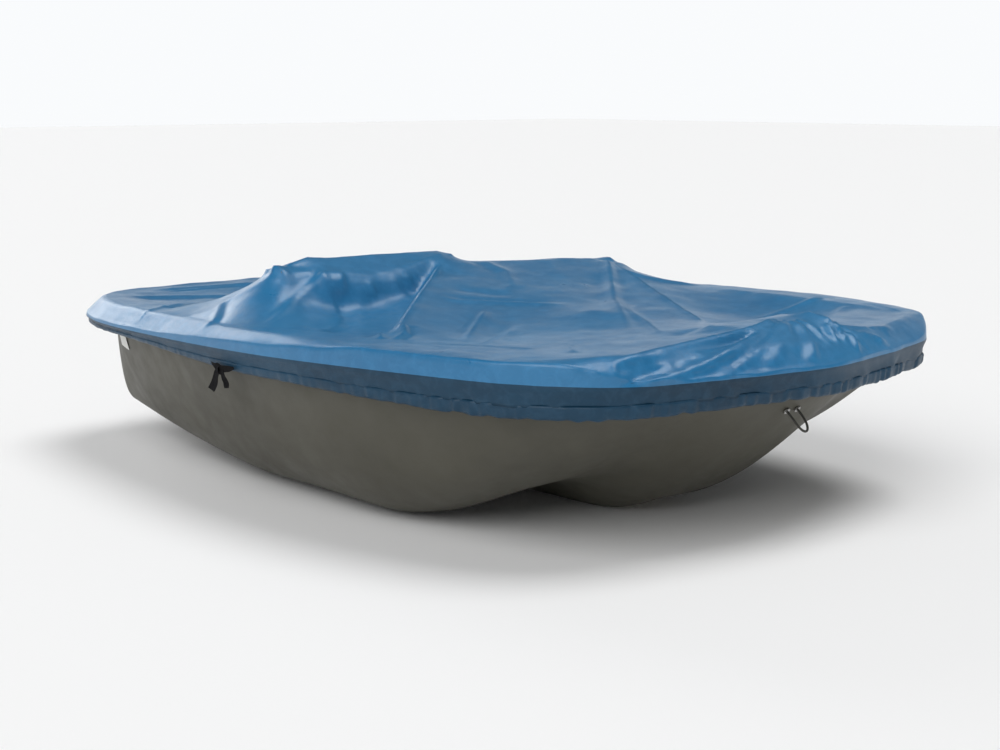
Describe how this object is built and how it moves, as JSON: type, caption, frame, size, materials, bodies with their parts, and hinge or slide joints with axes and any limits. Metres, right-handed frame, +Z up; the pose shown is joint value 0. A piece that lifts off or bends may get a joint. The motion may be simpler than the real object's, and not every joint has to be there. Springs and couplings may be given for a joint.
{
  "type": "pedal boat",
  "caption": "Moulded pedal boat with three-stem hull, crank-driven paddle wheel, lever steering and a fitted mooring cover stretched over its seats",
  "frame": {"origin": "On the ground plane, under the centre of the boat's length and beam", "axes": "+X to the bow, +Y to port, +Z up"},
  "size_m": [2.3007, 1.6256, 0.591],
  "materials": {
    "hull_green_grey": "green-grey moulded plastic, faint sheen",
    "deck_sand": "sand-coloured moulded plastic",
    "seat_grey": "grey moulded plastic",
    "cover_blue_vinyl": "coated blue fabric with a soft gloss",
    "black_plastic": "black injection-moulded plastic",
    "black_webbing": "woven black webbing and rope",
    "stainless_steel": "stainless steel",
    "white_plastic": "white plastic",
    "white_foam": "closed-cell foam block",
    "black_rubber": "extruded rubber strip",
    "paddle_plastic": "cream moulded plastic"
  },
  "bodies": {
    "boat": {"hull_shell": "hull_green_grey", "deck_shell": "deck_sand", "rub_rail": "black_rubber", "paddle_housing": "deck_sand", "shaft_bush_starboard": "white_plastic", "shaft_bush_port": "white_plastic", "bearing_block_starboard": "black_plastic", "bearing_block_port": "black_plastic", "seat_starboard": "seat_grey", "seat_port": "seat_grey", "rear_seat_starboard": "seat_grey", "rear_seat_port": "seat_grey", "lever_bracket": "black_plastic", "lever_pivot_pin": "stainless_steel", "rod_guide": "black_plastic", "rudder_sleeve": "white_plastic", "sleeve_nut": "black_plastic", "foam_starboard": "white_foam", "foam_port": "white_foam", "name_plate": "white_plastic", "tow_washer_starboard": "stainless_steel", "tow_washer_port": "stainless_steel", "tow_loop": "black_webbing"},
    "crank": {"crank_shaft": "stainless_steel", "paddle_wheel": "paddle_plastic"},
    "pedal_starboard_inner": {"pedal_starboard_inner": "black_plastic"},
    "pedal_starboard_outer": {"pedal_starboard_outer": "black_plastic"},
    "pedal_port_inner": {"pedal_port_inner": "black_plastic"},
    "pedal_port_outer": {"pedal_port_outer": "black_plastic"},
    "lever": {"steering_lever": "stainless_steel", "lever_knob": "black_plastic"},
    "rod": {"steering_rod": "stainless_steel", "rod_end_front": "black_plastic", "rod_end_rear": "black_plastic"},
    "rudder": {"rudder_post": "stainless_steel", "rudder_blade": "black_plastic", "tiller_arm": "stainless_steel"},
    "plug": {"drain_plug": "black_plastic"},
    "mooring_cover": {"cover": "cover_blue_vinyl", "strap_tail_long_starboard": "black_webbing", "strap_tail_short_starboard": "black_webbing", "strap_tail_long_port": "black_webbing", "strap_tail_short_port": "black_webbing"}
  },
  "joints": [
    {"name": "crank_turn", "type": "hinge", "parent": "boat", "child": "crank", "pos_m": [0.5, 0, 0.27], "axis": [0, 1, 0], "continuous": true},
    {"name": "pedal_starboard_inner_spin", "type": "hinge", "parent": "crank", "child": "pedal_starboard_inner", "pos_m": [0.5, -0.27, 0.353], "axis": [0, 1, 0], "continuous": true},
    {"name": "pedal_starboard_outer_spin", "type": "hinge", "parent": "crank", "child": "pedal_starboard_outer", "pos_m": [0.5, -0.445, 0.187], "axis": [0, 1, 0], "continuous": true},
    {"name": "pedal_port_inner_spin", "type": "hinge", "parent": "crank", "child": "pedal_port_inner", "pos_m": [0.5, 0.27, 0.187], "axis": [0, 1, 0], "continuous": true},
    {"name": "pedal_port_outer_spin", "type": "hinge", "parent": "crank", "child": "pedal_port_outer", "pos_m": [0.5, 0.445, 0.353], "axis": [0, 1, 0], "continuous": true},
    {"name": "lever_tilt", "type": "hinge", "parent": "boat", "child": "lever", "pos_m": [0.1, 0, 0.345], "axis": [0, 1, 0], "range_deg": [-20, 20]},
    {"name": "rod_slide", "type": "slide", "parent": "boat", "child": "rod", "axis": [1, 0, 0], "range_m": [-0.02094, 0.02094]},
    {"name": "rudder_turn", "type": "hinge", "parent": "boat", "child": "rudder", "pos_m": [-0.86, 0, 0.1], "axis": [0, 0, 1], "range_deg": [-24, 24]},
    {"name": "plug_pull", "type": "slide", "parent": "boat", "child": "plug", "axis": [-1, 0, 0], "range_m": [0, 0.06]},
    {"name": "cover_lift", "type": "slide", "parent": "boat", "child": "mooring_cover", "axis": [0, 0, 1], "range_m": [0, 0.8]}
  ],
  "couplings": [
    {"joint": "rod_slide", "follows": "lever_tilt", "m_per_rad": -0.06},
    {"joint": "rudder_turn", "follows": "lever_tilt", "ratio": 1.2}
  ]
}
